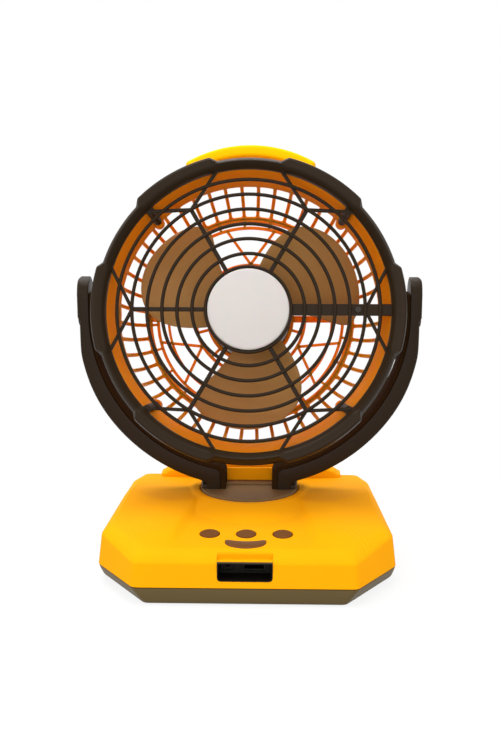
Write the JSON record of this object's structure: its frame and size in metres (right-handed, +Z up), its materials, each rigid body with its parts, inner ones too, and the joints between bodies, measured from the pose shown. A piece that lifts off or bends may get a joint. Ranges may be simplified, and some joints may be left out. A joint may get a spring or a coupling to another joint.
{
  "type": "portable camping fan",
  "caption": "Battery camping fan: a tilting fan head with a ring-guard lamp in a swivelling yoke, on an octagonal battery base with buttons and a port bay.",
  "frame": {"origin": "on the turntable's axis at the flat underside of the base plate", "axes": "+Z up along the turntable's axis, the fan's front faces -Y, +X to the right seen from the front"},
  "size_m": [0.26, 0.181, 0.3139],
  "materials": {
    "base_plate": "fine satin",
    "rubber": "matte",
    "steel": "bright zinc",
    "yellow_shell": "satin",
    "dark_trim": "satin",
    "black_plastic": "matte",
    "circuit_board": "solder mask",
    "brown_lens": "glossy",
    "cell_wrap": "shrink film",
    "natural_nylon": "natural",
    "brown_button": "satin",
    "turntable": "satin",
    "charcoal": "fine texture",
    "orange_shell": "satin",
    "yellow_handle": "satin",
    "lamp_diffuser": "opal",
    "white_board": "white mask",
    "motor_steel": "plain",
    "copper_winding": "varnished",
    "brown_blade": "satin",
    "magnet": "matte"
  },
  "bodies": {
    "base": {"base_plate": "base_plate", "rubber_feet": "rubber", "base_screws": "steel", "base_shell": "yellow_shell", "port_bay": "dark_trim", "usb_socket": "steel", "dc_jack": "black_plastic", "main_board": "circuit_board", "control_board": "circuit_board", "touch_switches": "black_plastic", "status_lens": "brown_lens", "battery_cells": "cell_wrap", "battery_holder": "black_plastic", "slip_ring": "natural_nylon", "swing_motor": "steel"},
    "pinion": {"swing_pinion": "natural_nylon"},
    "speed_button": {"speed_button": "brown_button"},
    "lamp_button": {"lamp_button": "brown_button"},
    "swing_button": {"swing_button": "brown_button"},
    "swivel": {"turntable": "turntable", "swing_gear": "natural_nylon", "gear_screws": "steel", "yoke": "charcoal", "yoke_cover": "charcoal", "yoke_screws": "steel", "pivot_caps": "charcoal"},
    "head": {"front_guard": "charcoal", "rear_shell": "orange_shell", "guard_screws": "steel", "handle": "yellow_handle", "handle_screws": "steel", "pivot_bolts": "steel", "tilt_washers": "natural_nylon", "lamp_lens": "lamp_diffuser", "lamp_board": "white_board", "lamp_housing": "charcoal", "lamp_arm": "charcoal", "arm_screw": "steel", "motor_can": "motor_steel", "motor_end_plate": "charcoal", "motor_screws": "steel", "motor_stator": "copper_winding", "motor_bearings": "steel"},
    "rotor": {"propeller": "brown_blade", "propeller_nut": "steel", "motor_shaft": "steel", "rotor_magnet": "magnet"}
  },
  "joints": [
    {"name": "swivel", "type": "hinge", "parent": "base", "child": "swivel", "pos_m": [0, 0, 0.0446], "axis": [0, 0, 1], "range_deg": [-45, 45]},
    {"name": "pinion_spin", "type": "hinge", "parent": "base", "child": "pinion", "pos_m": [0, 0.03, 0.038], "axis": [0, 0, 1], "range_deg": [-181, 181]},
    {"name": "head_tilt", "type": "hinge", "parent": "swivel", "child": "head", "pos_m": [0, 0, 0.1855], "axis": [-1, 0, 0], "range_deg": [-20, 75]},
    {"name": "rotor_spin", "type": "hinge", "parent": "head", "child": "rotor", "pos_m": [0, 0, 0.1855], "axis": [0, -0.9659, 0.2588], "continuous": true},
    {"name": "speed_press", "type": "slide", "parent": "base", "child": "speed_button", "axis": [0, 0.0872, -0.9962], "range_m": [0, 0.0008], "stiffness_N_per_m": 1500, "springref_m": -0.0005},
    {"name": "lamp_press", "type": "slide", "parent": "base", "child": "lamp_button", "axis": [0, 0.0872, -0.9962], "range_m": [0, 0.0008], "stiffness_N_per_m": 1500, "springref_m": -0.0005},
    {"name": "swing_press", "type": "slide", "parent": "base", "child": "swing_button", "axis": [0, 0.0872, -0.9962], "range_m": [0, 0.0008], "stiffness_N_per_m": 1500, "springref_m": -0.0005}
  ],
  "couplings": [
    {"joint": "pinion_spin", "follows": "swivel", "ratio": -4}
  ]
}
